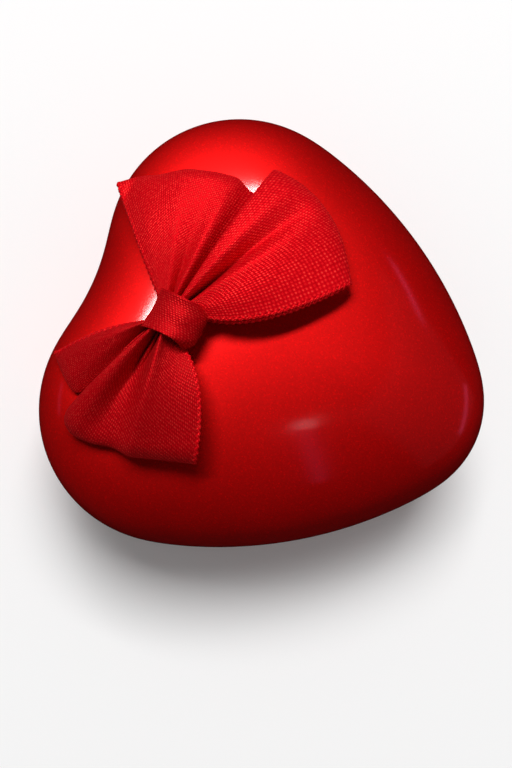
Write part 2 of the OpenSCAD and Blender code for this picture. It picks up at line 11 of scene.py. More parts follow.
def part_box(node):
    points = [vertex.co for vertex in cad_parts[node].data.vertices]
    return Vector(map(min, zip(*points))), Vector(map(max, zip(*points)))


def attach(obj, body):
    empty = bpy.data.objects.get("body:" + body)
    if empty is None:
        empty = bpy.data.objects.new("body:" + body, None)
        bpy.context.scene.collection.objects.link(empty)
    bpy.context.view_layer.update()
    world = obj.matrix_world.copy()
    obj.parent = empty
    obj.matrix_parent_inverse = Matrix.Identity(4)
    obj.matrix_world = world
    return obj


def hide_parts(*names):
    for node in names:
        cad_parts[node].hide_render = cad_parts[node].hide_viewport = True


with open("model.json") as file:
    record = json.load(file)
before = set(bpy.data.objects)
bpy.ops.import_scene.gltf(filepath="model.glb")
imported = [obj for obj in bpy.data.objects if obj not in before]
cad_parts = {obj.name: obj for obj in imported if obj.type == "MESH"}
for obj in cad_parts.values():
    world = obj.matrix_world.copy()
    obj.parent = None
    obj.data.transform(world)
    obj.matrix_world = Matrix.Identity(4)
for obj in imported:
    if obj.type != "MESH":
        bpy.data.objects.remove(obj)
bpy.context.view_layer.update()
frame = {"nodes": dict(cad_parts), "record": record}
MM = 0.001


# ---------------------------------------------------------------- sizes in millimetres
# The outline: two lobe arcs, a cleft arc between them, a tip arc, and a long arc down each side
LOBE_X = 16.6
LOBE_R = 25.2
CLEFT_R = 41.0
TIP_DROP = 36.0
TIP_R = 19.3
SIDE_R = 81.2
LOBE_Y = (TIP_DROP + TIP_R - LOBE_R) / 2
HALF_W = LOBE_X + LOBE_R
WALL = 1.6
# The lid: a dome over its widest level, and under that a rim that curls in
RIM_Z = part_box("lid_shell")[0][2] / MM
EQUATOR_Z = 35.0
DOME_Z = 51.0
DOME_POWER = 2.3
EDGE_DRAW = 8.0
CURL_DRAW = 3.7
# The body stands in under the lid, and its belly draws in to the feet
BODY_INSET = 4.0
BODY_TOP_Z = 30.0
BELLY_Z = 12.0
BELLY_DRAW = 2.6
FOOT_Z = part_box("body_shell")[0][2] / MM
LUGS = [(0, 27.5), (-19.6, -14.2), (19.6, -14.2)]
LUG_R = 2.8
LUG_Z = 11.5
LUG_H = 6.0


# ---------------------------------------------------------------- camera
CAMERA_AZIMUTH = math.radians(-67.5)
CAMERA_ELEVATION = math.radians(81)
CAMERA_DISTANCE = 228 * MM
CAMERA_LENS = 56.25
AIM_RIGHT = 9.3
AIM_DOWN = 10.6


def add_camera():
    """Nearly straight down on the lid, turned so that the cleft is at the left of the view."""
    level = math.cos(CAMERA_ELEVATION)
    back = Vector((math.sin(CAMERA_AZIMUTH) * level, -math.cos(CAMERA_AZIMUTH) * level,
                   math.sin(CAMERA_ELEVATION)))
    right = Vector((math.cos(CAMERA_AZIMUTH), math.sin(CAMERA_AZIMUTH), 0))
    up = back.cross(right)
    lobes = Vector((0, LOBE_Y, EQUATOR_Z)) * MM
    aim = lobes + right * AIM_RIGHT * MM - up * AIM_DOWN * MM
    data = bpy.data.cameras.new("camera")
    data.lens = CAMERA_LENS
    data.clip_start = 0.005
    camera = bpy.data.objects.new("camera", data)
    bpy.context.scene.collection.objects.link(camera)
    camera.location = lobes + back * CAMERA_DISTANCE
    camera.rotation_mode = "QUATERNION"
    look = (camera.location - aim).normalized()
    side = (right - look * right.dot(look)).normalized()
    turn = Matrix((side, look.cross(side), look)).transposed()
    camera.rotation_quaternion = turn.to_quaternion()
    bpy.context.scene.camera = camera


add_camera()


# ---------------------------------------------------------------- materials
def new_material(name):
    made = bpy.data.materials.new(name)
    made.use_nodes = True
    tree = made.node_tree
    return made, tree, tree.nodes["Principled BSDF"]


def node(tree, kind, **values):
    """A new node. A value goes to the socket of that name, or else to the node's own setting."""
    made = tree.nodes.new(kind)
    for key, value in values.items():
        if key in made.inputs:
            made.inputs[key].default_value = value
        else:
            setattr(made, key, value)
    return made


def noise(tree, scale, detail=2.0, rough=0.5, stretch=(1, 1, 1)):
    """Noise in the object's own coordinates, at a scale per metre."""
    place = node(tree, "ShaderNodeTexCoord")
    size = node(tree, "ShaderNodeMapping")
    size.inputs["Scale"].default_value = stretch
    tree.links.new(place.outputs["Object"], size.inputs["Vector"])
    made = node(tree, "ShaderNodeTexNoise", Scale=scale, Detail=detail, Roughness=rough)
    tree.links.new(size.outputs["Vector"], made.inputs["Vector"])
    return made


def ramp(tree, source, stops, output="Fac"):
    """Colours from a node's output, by (position, colour) stops."""
    made = node(tree, "ShaderNodeValToRGB")
    made.color_ramp.elements[0].position = stops[0][0]
    made.color_ramp.elements[0].color = (*stops[0][1], 1)
    made.color_ramp.elements[1].position = stops[-1][0]
    made.color_ramp.elements[1].color = (*stops[-1][1], 1)
    for at, colour in stops[1:-1]:
        made.color_ramp.elements.new(at).color = (*colour, 1)
    tree.links.new(source.outputs[output], made.inputs["Fac"])
    return made


def bump(tree, source, shader, distance, strength, output="Fac", normal="Normal"):
    made = node(tree, "ShaderNodeBump", Strength=strength, Distance=distance)
    tree.links.new(source.outputs[output], made.inputs["Height"])
    tree.links.new(made.outputs["Normal"], shader.inputs[normal])


def flake_enamel(name, deep, bright):
    """Metallic red with fine flakes under a clear gloss coat."""
    made, tree, shader = new_material(name)
    place = node(tree, "ShaderNodeTexCoord")
    flakes = node(tree, "ShaderNodeTexVoronoi", Scale=4200.0)
    tree.links.new(place.outputs["Object"], flakes.inputs["Vector"])
    spark = tuple(min(1, c * 1.25) for c in bright)
    tone = ramp(tree, flakes, [(0.0, deep), (0.75, bright), (1.0, spark)], "Color")
    tree.links.new(tone.outputs["Color"], shader.inputs["Base Color"])
    bump(tree, noise(tree, 2600.0, 3.0), shader, 0.00002, 0.3)
    rough = ramp(tree, noise(tree, 35.0, 3.0), [(0.3, (0.54,) * 3), (0.7, (0.6,) * 3)])
    tree.links.new(rough.outputs["Color"], shader.inputs["Roughness"])
    bump(tree, noise(tree, 1100.0, 2.0), shader, 0.00002, 0.12, normal="Coat Normal")
    shader.inputs["Metallic"].default_value = 0.82
    shader.inputs["Coat Weight"].default_value = 1.0
    shader.inputs["Coat Roughness"].default_value = 0.13
    shader.inputs["Coat IOR"].default_value = 1.5
    return made


RED_ENAMEL = flake_enamel("red_enamel", (0.68, 0.0, 0.0), (0.8, 0.0, 0.0))


def worn_metal(name, colour, dark, rough, grain=(1, 1, 1), scale=700.0, depth=0.00001):
    """A metal with a fine grain, cloudy tone and uneven polish."""
    made, tree, shader = new_material(name)
    cloud = noise(tree, 120.0, 5.0, 0.6)
    tone = ramp(tree, cloud, [(0.3, dark), (0.62, colour)])
    tree.links.new(tone.outputs["Color"], shader.inputs["Base Color"])
    grained = noise(tree, scale, 4.0, 0.6, stretch=grain)
    polish = ramp(tree, grained, [(0.3, (rough * 0.8,) * 3), (0.75, (rough * 1.35,) * 3)])
    tree.links.new(polish.outputs["Color"], shader.inputs["Roughness"])
    bump(tree, grained, shader, depth, 0.6)
    shader.inputs["Metallic"].default_value = 1.0
    return made


def velvet(name, deep, bright):
    """A short pile with a soft sheen."""
    made, tree, shader = new_material(name)
    pile = noise(tree, 2500.0, 3.0, 0.7)
    tone = ramp(tree, noise(tree, 90.0, 4.0), [(0.3, deep), (0.7, bright)])
    tree.links.new(tone.outputs["Color"], shader.inputs["Base Color"])
    bump(tree, pile, shader, 0.0002, 0.8)
    shader.inputs["Roughness"].default_value = 0.95
    shader.inputs["Sheen Weight"].default_value = 0.7
    shader.inputs["Sheen Roughness"].default_value = 0.35
    shader.inputs["Sheen Tint"].default_value = (1.0, 0.25, 0.3, 1)
    return made


def moulded(name, colour, dark, rough, scale=900.0, depth=0.00003):
    """Plain plastic, rubber or foam with a faint cloud and a fine grain."""
    made, tree, shader = new_material(name)
    tone = ramp(tree, noise(tree, 60.0, 4.0), [(0.3, dark), (0.7, colour)])
    tree.links.new(tone.outputs["Color"], shader.inputs["Base Color"])
    grained = noise(tree, scale, 3.0)
    polish = ramp(tree, grained, [(0.3, (rough * 0.85,) * 3), (0.7, (min(1, rough * 1.15),) * 3)])
    tree.links.new(polish.outputs["Color"], shader.inputs["Roughness"])
    bump(tree, grained, shader, depth, 0.7)
    return made


def clear_plastic(name):
    """Clear acrylic with faint smears."""
    made, tree, shader = new_material(name)
    smear = ramp(tree, noise(tree, 80.0, 3.0), [(0.35, (0.04,) * 3), (0.7, (0.12,) * 3)])
    tree.links.new(smear.outputs["Color"], shader.inputs["Roughness"])
    shader.inputs["Base Color"].default_value = (0.93, 0.96, 0.97, 1)
    shader.inputs["Transmission Weight"].default_value = 1.0
    shader.inputs["IOR"].default_value = 1.49
    return made


def silvered(name):
    """Mirror glass with faint smears. It is less than fully metallic, since the room is dark."""
    made, tree, shader = new_material(name)
    smear = ramp(tree, noise(tree, 50.0, 3.0), [(0.4, (0.015,) * 3), (0.8, (0.07,) * 3)])
    tree.links.new(smear.outputs["Color"], shader.inputs["Roughness"])
    shader.inputs["Base Color"].default_value = (0.86, 0.89, 0.9, 1)
    shader.inputs["Metallic"].default_value = 0.55
    return made


FINISHES = {
    "red_enamel": RED_ENAMEL,
    "dark_enamel": RED_ENAMEL,
    "velvet": velvet("velvet", (0.14, 0.004, 0.01), (0.24, 0.008, 0.016)),
    "steel": worn_metal("steel", (0.66, 0.66, 0.67), (0.5, 0.5, 0.51), 0.25, (1, 6, 1)),
    "spring_steel": worn_metal("spring_steel", (0.3, 0.33, 0.42), (0.18, 0.19, 0.26), 0.3),
    "cast_zinc": worn_metal("cast_zinc", (0.56, 0.56, 0.57), (0.42, 0.42, 0.43), 0.42,
                            scale=1500.0, depth=0.00004),
    "brass": worn_metal("brass", (0.82, 0.62, 0.27), (0.62, 0.44, 0.17), 0.27, (8, 1, 1)),
    "gilt": worn_metal("gilt", (0.88, 0.68, 0.32), (0.72, 0.52, 0.22), 0.2),
    "black_plate": moulded("black_plate", (0.02, 0.02, 0.022), (0.012, 0.012, 0.013), 0.45),
    "rubber_pad": moulded("rubber_pad", (0.03, 0.03, 0.03), (0.018, 0.018, 0.018), 0.85,
                          depth=0.00008),
    "clear_cover": clear_plastic("clear_cover"),
    "nylon": moulded("nylon", (0.82, 0.81, 0.76), (0.72, 0.71, 0.66), 0.4),
    "mirror": silvered("mirror"),
    "foam_tape": moulded("foam_tape", (0.78, 0.78, 0.75), (0.6, 0.6, 0.58), 0.9, depth=0.00015),
}

# The finishes that the metal lamps light
SHINY = ("steel", "spring_steel", "cast_zinc", "brass", "gilt", "mirror", "clear_cover")


def dress_nodes():
    """Every node keeps its CAD shape and takes the finish of its record slot."""
    for part in frame["record"]["subparts"]:
        finish = FINISHES.get(part["material_slot"])
        shape = frame["nodes"].get(part["node"])
        if finish is None or shape is None:
            continue
        for held in shape.material_slots:
            held.material = finish


dress_nodes()


# ---------------------------------------------------------------- heart outline
def arc(x, y, r, a0, a1, n):
    """Points on an arc from angle a0 up to angle a1, without the last one."""
    a = np.radians(a0 + (a1 - a0) * np.arange(n) / n)
    return np.stack([x + r * np.cos(a), y + r * np.sin(a)], 1)


def arc_heart():
    """The outline as touching arcs, anticlockwise from the tip."""
    tip_y = LOBE_Y - TIP_DROP
    cleft_h = math.sqrt((CLEFT_R + LOBE_R) ** 2 - LOBE_X ** 2)
    cleft_a = math.degrees(math.atan2(LOBE_X, cleft_h))
    # the side arc's circle goes round the lobe's and the tip's circles and touches both
    flank = math.hypot(LOBE_X, TIP_DROP)
    along = ((SIDE_R - LOBE_R) ** 2 - (SIDE_R - TIP_R) ** 2 + flank ** 2) / (2 * flank)
    across = math.sqrt((SIDE_R - LOBE_R) ** 2 - along ** 2)
    ux, uy = -LOBE_X / flank, -TIP_DROP / flank
    side_x = LOBE_X + along * ux + across * uy
    side_y = LOBE_Y + along * uy - across * ux
    tip_a = math.degrees(math.atan2(tip_y - side_y, -side_x))
    lobe_a = math.degrees(math.atan2(LOBE_Y - side_y, LOBE_X - side_x))
    half = np.concatenate([
        arc(0, tip_y, TIP_R, -90, tip_a, 60),
        arc(side_x, side_y, SIDE_R, tip_a, lobe_a, 60),
        arc(LOBE_X, LOBE_Y, LOBE_R, lobe_a, 90 + cleft_a, 110),
        arc(0, LOBE_Y + cleft_h, CLEFT_R, cleft_a - 90, -90, 30)])
    dip = np.array([[0, LOBE_Y + cleft_h - CLEFT_R]])
    return np.concatenate([half, dip, half[:0:-1] * [-1, 1]])


CURVE_BLEND = 3.2


def even_loop(points, count):
    """A closed line resampled to equal steps, its curvature blended over a few millimetres."""
    closed = np.concatenate([points, points[:1]])
    run = np.concatenate([[0], np.cumsum(np.linalg.norm(np.diff(closed, axis=0), axis=1))])
    at = np.arange(count) * run[-1] / count
    even = np.stack([np.interp(at, run, closed[:, k]) for k in (0, 1)], 1)
    spread = CURVE_BLEND / (run[-1] / count)
    waves = np.fft.fftfreq(count) * 2 * np.pi
    soft = np.exp(-0.5 * (waves * spread) ** 2)[:, None]
    return np.real(np.fft.ifft(np.fft.fft(even, axis=0) * soft, axis=0))


OUTLINE_COUNT = 360
OUTLINE = even_loop(arc_heart(), OUTLINE_COUNT)
AHEAD = np.roll(OUTLINE, -1, 0) - np.roll(OUTLINE, 1, 0)
OUTWARD = np.stack([AHEAD[:, 1], -AHEAD[:, 0]], 1) / np.linalg.norm(AHEAD, axis=1)[:, None]


def ring(inside, share, z):
    """The outline at a height, moved in by so many millimetres and then scaled."""
    flat = (OUTLINE - OUTWARD * inside) * share
    return np.concatenate([flat, np.full((OUTLINE_COUNT, 1), z)], 1)


def dome_ring(a, skin):
    """A ring of the dome: a runs from 0 at the widest level to a right angle at the top."""
    rho = math.cos(a) ** (2 / DOME_POWER)
    draw = EDGE_DRAW * (1 - rho ** 3)
    width = HALF_W - skin
    rise = (DOME_Z - EQUATOR_Z - skin) * math.sin(a) ** (2 / DOME_POWER)
    return ring(draw + skin, width * rho / (width - draw), EQUATOR_Z + rise)


def curl_ring(a, skin):
    """A ring of the lid's rim: a runs from 0 at the widest level to a right angle at the bottom."""
    drop = (EQUATOR_Z - RIM_Z) * math.sin(a)
    return ring(skin + CURL_DRAW * (1 - math.cos(a)), 1, EQUATOR_Z - drop)


def new_piece(name, shape):
    """A bmesh made into an object of the scene, its faces turned outward."""
    bmesh.ops.recalc_face_normals(shape, faces=shape.faces)
    mesh = bpy.data.meshes.new(name)
    shape.to_mesh(mesh)
    shape.free()
    made = bpy.data.objects.new(name, mesh)
    bpy.context.scene.collection.objects.link(made)
    return made


def loft(name, rings, tips=()):
    """A closed skin over rings, the last joined to the first. tips are (ring, point) pairs:
    between two rings that have one each, the skin is closed by two fans instead."""
    shape = bmesh.new()
    loops = [[shape.verts.new(p * MM) for p in r] for r in rings]
    points = {k: shape.verts.new(np.array(p) * MM) for k, p in tips}
    for k in range(len(loops)):
        after = (k + 1) % len(loops)
        if k in points and after in points:
            for loop, tip in ((loops[k], points[k]), (loops[after], points[after])):
                for i in range(len(loop)):
                    shape.faces.new([loop[i], loop[(i + 1) % len(loop)], tip])
            continue
        for i in range(len(loops[k])):
            j = (i + 1) % len(loops[k])
            shape.faces.new([loops[k][i], loops[k][j], loops[after][j], loops[after][i]])
    for face in shape.faces:
        face.smooth = True
    return new_piece(name, shape)


SHARP_ANGLE = math.radians(50)


def split_sharp(piece):
    """Keeps the hard rim edges hard and the rest smooth."""
    shape = bmesh.new()
    shape.from_mesh(piece.data)
    for edge in shape.edges:
        if len(edge.link_faces) == 2 and edge.calc_face_angle(0) > SHARP_ANGLE:
            edge.smooth = False
    shape.to_mesh(piece.data)
    shape.free()


def quarter(count, last=90.0):
    """Even angles from 0 up to the last, in radians."""
    return [math.radians(last * i / count) for i in range(count + 1)]


def build_lid():
    """The lid as one thin shell: rim, dome, and the same again inside."""
    # the crown stops just short of the top, where a fan closes it
    crown = quarter(48, 88.5)
    curl = quarter(12)[1:]
    rings = [curl_ring(a, 0) for a in reversed(curl)] + [dome_ring(a, 0) for a in crown]
    top = len(rings) - 1
    rings += [dome_ring(a, WALL) for a in reversed(crown)] + [curl_ring(a, WALL) for a in curl]
    tips = [(top, (0, 0, DOME_Z)), (top + 1, (0, 0, DOME_Z - WALL))]
    lid = loft("lid_enamel", rings, tips)
    split_sharp(lid)
    lid.data.materials.append(RED_ENAMEL)
    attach(lid, "lid")
    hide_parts("lid_shell")


build_lid()


def belly_ring(a, skin):
    """A ring of the body's belly: a runs from 0 at the straight wall to a right angle at the foot."""
    drop = (BELLY_Z - FOOT_Z) * math.sin(a)
    return ring(BODY_INSET + skin + BELLY_DRAW * (1 - math.cos(a)), 1, BELLY_Z - drop)


def add_lugs(piece):
    """The three screw bosses inside the wall, each with a rib out to it."""
    shape = bmesh.new()
    shape.from_mesh(piece.data)
    wall = ring(BODY_INSET + WALL / 2, 1, 0)
    middle_z = LUG_Z + LUG_H / 2
    for x, y in LUGS:
        post = Matrix.Translation((x * MM, y * MM, middle_z * MM))
        bmesh.ops.create_cone(shape, cap_ends=True, segments=40, depth=LUG_H * MM,
                              radius1=LUG_R * MM, radius2=LUG_R * MM, matrix=post)
        if x == 0:
            reach = wall[np.abs(wall[:, 0]).argsort()[:2], 1].max() - y
            middle = (x, y + reach / 2, middle_z)
            size = (2 * LUG_R, reach, LUG_H)
        else:
            # measured at the rib's edge toward the tip, where the wall is nearest
            same_side = wall[wall[:, 0] * x > 0]
            reach = abs(same_side[np.abs(same_side[:, 1] - y + LUG_R).argmin(), 0]) - abs(x)
            middle = (x + math.copysign(reach / 2, x), y, middle_z)
            size = (reach, 2 * LUG_R, LUG_H)
        place = Matrix.Translation(Vector(middle) * MM) @ Matrix.Diagonal((*(Vector(size) * MM), 1))
        bmesh.ops.create_cube(shape, size=1, matrix=place)
    shape.to_mesh(piece.data)
    shape.free()


def build_body():
    """The wall of the case: a rounded top edge, a straight side and a belly that draws in below."""
    belly = quarter(14)
    corner = [(0, 0.25), (0.08, 0.07), (0.25, 0)]
    edge = corner + [(WALL - inside, drop) for inside, drop in reversed(corner)]
    rings = [belly_ring(a, 0) for a in reversed(belly)]
    rings += [ring(BODY_INSET + inside, 1, BODY_TOP_Z - drop) for inside, drop in edge]
    rings += [belly_ring(a, WALL) for a in belly]
    body = loft("body_enamel", rings)
    split_sharp(body)
    add_lugs(body)
    body.data.materials.append(RED_ENAMEL)
    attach(body, "case")
    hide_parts("body_shell")


build_body()


# ---------------------------------------------------------------- ribbon bow
RIBBON_W = 48.0
CLOTH_T = 0.24
# A float of the weave: its size across and along the ribbon, and the slant of its row
FLOAT_ACROSS = 0.4
FLOAT_ALONG = 0.62
FLOAT_SLANT = 0.4


def satin(name, shade_share=1.0):
    """Red satin: short floats in slanting rows over a smooth ground, each float's middle painted
    bright salmon as a painted sheen and the ground between floats darker as painted shade.
    """
    made, tree, shader = new_material(name)
    # the UV map is in millimetres, and here it is counted in floats
    place = node(tree, "ShaderNodeUVMap", uv_map="cloth")
    apart = node(tree, "ShaderNodeSeparateXYZ")
    tree.links.new(place.outputs["UV"], apart.inputs["Vector"])
    across = node(tree, "ShaderNodeMath", operation="MULTIPLY")
    across.inputs[1].default_value = 1 / FLOAT_ACROSS
    tree.links.new(apart.outputs["X"], across.inputs[0])
    slant = node(tree, "ShaderNodeMath", operation="MULTIPLY_ADD")
    slant.inputs[1].default_value = 1 / FLOAT_ALONG
    tree.links.new(apart.outputs["Y"], slant.inputs[0])
    shift = node(tree, "ShaderNodeMath", operation="MULTIPLY")
    shift.inputs[1].default_value = FLOAT_SLANT
    tree.links.new(across.outputs[0], shift.inputs[0])
    tree.links.new(shift.outputs[0], slant.inputs[2])
    cell = node(tree, "ShaderNodeCombineXYZ")
    tree.links.new(across.outputs[0], cell.inputs["X"])
    tree.links.new(slant.outputs[0], cell.inputs["Y"])
    floats = node(tree, "ShaderNodeTexVoronoi", Scale=1.0, Randomness=0.25)
    tree.links.new(cell.outputs["Vector"], floats.inputs["Vector"])
    # Bright salmon at each float's middle fading to dark red between floats: painted sheen on the
    # floats and painted shade between them, over the real weave's bump.
    float_sheen_reds = [(0.0, (0.94, 0.085, 0.055)), (0.2, (0.76, 0.012, 0.014)), (0.36, (0.6, 0.001, 0.006)),
            (0.7, (0.42, 0.0, 0.003))]
    # the second argument scales the whole colour down: painted shade for the darker copy
    stops = [(at, tuple(c * shade_share for c in red)) for at, red in float_sheen_reds]
    tone = ramp(tree, floats, stops, "Distance")
    tree.links.new(tone.outputs["Color"], shader.inputs["Base Color"])
    polish = ramp(tree, floats, [(0.1, (0.38,) * 3), (0.5, (0.5,) * 3)], "Distance")
    tree.links.new(polish.outputs["Color"], shader.inputs["Roughness"])
    lift = ramp(tree, floats, [(0.0, (1.0,) * 3), (0.5, (0.0,) * 3)], "Distance")
    bump(tree, lift, shader, 0.00008, 0.8, "Color")
    shader.inputs["Metallic"].default_value = 0.35
    shader.inputs["Sheen Weight"].default_value = 0.05
    shader.inputs["Sheen Roughness"].default_value = 0.3
    shader.inputs["Sheen Tint"].default_value = (1.0, 0.12, 0.1, 1)
    shader.inputs["Specular IOR Level"].default_value = 0.1
    shader.inputs["Specular Tint"].default_value = (1.0, 0.35, 0.3, 1)
    return made


SATIN = satin("satin_ribbon")
# The same satin made darker for the left loop and the knot: painted shade, not a different cloth.
SHADED_SATIN = satin("satin_painted_shade", 0.7)
# The outline as seen from the middle of the lid, for the height of the dome at any place
EDGE_ANGLE = np.unwrap(np.arctan2(OUTLINE[:, 0], -OUTLINE[:, 1]))
EDGE_REACH = np.linalg.norm(OUTLINE, axis=1)
DOME_EDGE = 0.93


def dome_z(x, y):
    """Height of the dome over a plan point. Past DOME_EDGE of the way out, it falls no further."""
    turn = np.mod(np.arctan2(x, -y) - EDGE_ANGLE[0], 2 * np.pi) + EDGE_ANGLE[0]
    reach = np.interp(turn, np.append(EDGE_ANGLE, EDGE_ANGLE[0] + 2 * np.pi),
                      np.append(EDGE_REACH, EDGE_REACH[0]))
    rho = np.minimum(DOME_EDGE, np.hypot(x, y) / reach)
    return EQUATOR_Z + (DOME_Z - EQUATOR_Z) * (1 - rho ** DOME_POWER) ** (1 / DOME_POWER)


# Columns of a loop, from the back selvage to the front one: share of the ribbon's width, then the
# outer fold's place in plan, its lift over the dome, and how far the pleat stands up (or down).
RIGHT_FOLD = [
    (0.00, 17.5, 40.1, 2.0, 0.1), (0.07, 20.0, 36.9, 2.8, 0.4), (0.15, 20.8, 33.4, 3.4, 0.5),
    (0.25, 23.5, 28.7, 4.2, 0.6), (0.36, 24.6, 23.4, 4.6, -0.9), (0.45, 25.2, 19.1, 3.6, 1.1),
    (0.50, 23.2, 16.2, 1.5, -0.5), (0.54, 24.8, 11.0, 1.2, -1.1), (0.60, 29.6, 15.0, 3.4, 0.9),
    (0.68, 28.5, 8.8, 5.0, 1.2), (0.76, 26.9, 4.6, 5.0, -1.9), (0.82, 24.9, 1.6, 5.0, 0.8),
    (0.90, 22.4, -1.3, 4.6, 0.6), (0.95, 19.1, -3.8, 4.2, 0.4), (1.00, 14.8, -6.4, 3.6, -0.3)]
LEFT_FOLD = [
    (0.00, -16.1, 38.3, 1.6, 0.0), (0.09, -17.8, 36.6, 2.0, 0.8), (0.18, -20.2, 33.8, 2.2, -0.2),
    (0.25, -21.8, 31.4, 1.3, -1.2), (0.31, -16.5, 25.5, 0.8, -1.8), (0.37, -24.4, 31.9, 2.8, 1.0),
    (0.43, -26.9, 31.5, 3.6, 1.2), (0.48, -28.5, 29.5, 3.8, 0.6), (0.56, -28.7, 25.6, 3.0, -2.0),
    (0.63, -27.8, 21.6, 2.6, -1.0), (0.70, -28.4, 18.2, 4.4, 1.5), (0.80, -27.2, 14.2, 4.2, 0.7),
    (0.90, -26.2, 10.6, 4.2, -0.1), (1.00, -25.2, 7.0, 4.8, -0.9)]
# The two ends of the pinched line at the knot, and the bend points of the two selvages
RIGHT_PINCH = ((-0.9, 23.6), (-1.1, 18.4), (7.0, 31.2), (-2.4, 7.0))
LEFT_PINCH = ((-5.4, 24.4), (-5.8, 19.4), (-8.6, 30.6), (-9.4, 10.2))
LOOP_COLUMNS = 170
FOLD_BLEND = 2.6      # columns over which the table's corners are rounded
BEND_SHARE = 0.22     # share of the width that a selvage's bend reaches over
PINCH_H = 3.4         # height of the top layer at the knot
BILLOW_H = 1.5        # how far the top layer swells between the knot and the fold
PLEAT_SHARE = 1.6     # height of a pleat at the knot, for one unit in the table
UNDER_CLEAR = 0.45    # height of the under layer over the dome
LAYER_GAP = 0.5       # least height between the two layers
GATHERS = 3           # small gathers over the top layer
UNDER_GATHERS = 9     # small gathers over the under layer


def soften(values):
    """A running Gaussian blur that keeps its two ends."""
    reach = int(3 * FOLD_BLEND)
    kernel = np.exp(-0.5 * (np.arange(-reach, reach + 1) / FOLD_BLEND) ** 2)
    kernel /= kernel.sum()
    first = 2 * values[0] - values[reach:0:-1]
    final = 2 * values[-1] - values[-2:-reach - 2:-1]
    return np.convolve(np.concatenate([first, values, final]), kernel, "valid")


def path_steps():
    """Steps along a loop as (share of the way out, share of the height between the two layers)."""
    bend = 0.1
    under = [(t, 0.0) for t in np.linspace(0, 1 - bend, 16)]
    turn = [(1 - bend + bend * math.sin(a), 0.5 - 0.5 * math.cos(a))
            for a in np.linspace(0, math.pi, 25)[1:-1]]
    above = [(t, 1.0) for t in np.linspace(1 - bend, 0, 46)]
    return under + turn + above


def loop_grid(fold, pinch, gather_h, under_h):
    """Points of one loop: out along the lid, round the fold, and back over the top to the knot."""
    table = np.array(fold)
    s = np.linspace(0, 1, LOOP_COLUMNS)
    out_x, out_y, lift, pleat = (soften(np.interp(s, table[:, 0], column)) for column in table.T[1:])
    (x0, y0), (x1, y1), (bx0, by0), (bx1, by1) = pinch
    in_x, in_y = x0 + (x1 - x0) * s, y0 + (y1 - y0) * s
    back_bend = np.clip(1 - s / BEND_SHARE, 0, 1) ** 1.5
    front_bend = np.clip(1 - (1 - s) / BEND_SHARE, 0, 1) ** 1.5
    mid_x, mid_y = (in_x + out_x) / 2, (in_y + out_y) / 2
    mid_x += back_bend * (bx0 - mid_x[0]) + front_bend * (bx1 - mid_x[-1])
    mid_y += back_bend * (by0 - mid_y[0]) + front_bend * (by1 - mid_y[-1])
    lines = []
    for t, over in path_steps():
        x = (1 - t) ** 2 * in_x + 2 * t * (1 - t) * mid_x + t * t * out_x
        y = (1 - t) ** 2 * in_y + 2 * t * (1 - t) * mid_y + t * t * out_y
        top = PINCH_H * (1 - t) + lift * t + BILLOW_H * math.sin(math.pi * t) ** 1.2
        top = top + PLEAT_SHARE * pleat * ((1 - t) ** 1.1 + t * (1 - t))
        top = top + gather_h * np.sin(2 * np.pi * GATHERS * s + 0.6) * (1 - t) ** 2.2
        low = UNDER_CLEAR + 0.4 * (1 - t)
        low = low + under_h * (1 + np.sin(2 * np.pi * UNDER_GATHERS * s)) * (1 - t) ** 0.8
        height = low + (np.maximum(top, low + LAYER_GAP) - low) * over
        lines.append(np.stack([x, y, dome_z(x, y) + height], 1))
    return np.array(lines)


def cloth_from_grid(name, grid, width, cloth):
    """A sheet from rows of points, with a UV map in millimetres across and along the ribbon."""
    rows, columns = grid.shape[:2]
    shape = bmesh.new()
    verts = [[shape.verts.new(p * MM) for p in row] for row in grid]
    layer = shape.loops.layers.uv.new("cloth")
    steps = np.linalg.norm(np.diff(grid, axis=0), axis=2).mean(1)
    along = np.concatenate([[0], np.cumsum(steps)])
    across = np.linspace(0, width, columns)
    for i in range(rows - 1):
        for j in range(columns - 1):
            corners = [(i, j), (i, j + 1), (i + 1, j + 1), (i + 1, j)]
            face = shape.faces.new([verts[a][b] for a, b in corners])
            face.smooth = True
            for loop, (a, b) in zip(face.loops, corners):
                loop[layer].uv = (across[b], along[a])
    made = new_piece(name, shape)
    thick = made.modifiers.new("thickness", "SOLIDIFY")
    thick.thickness = CLOTH_T * MM
    thick.offset = 0
    made.data.materials.append(cloth)
    return made


STITCH_STEP = 0.13
STITCH_PITCH = 1.15
STITCH_SIDES = 8


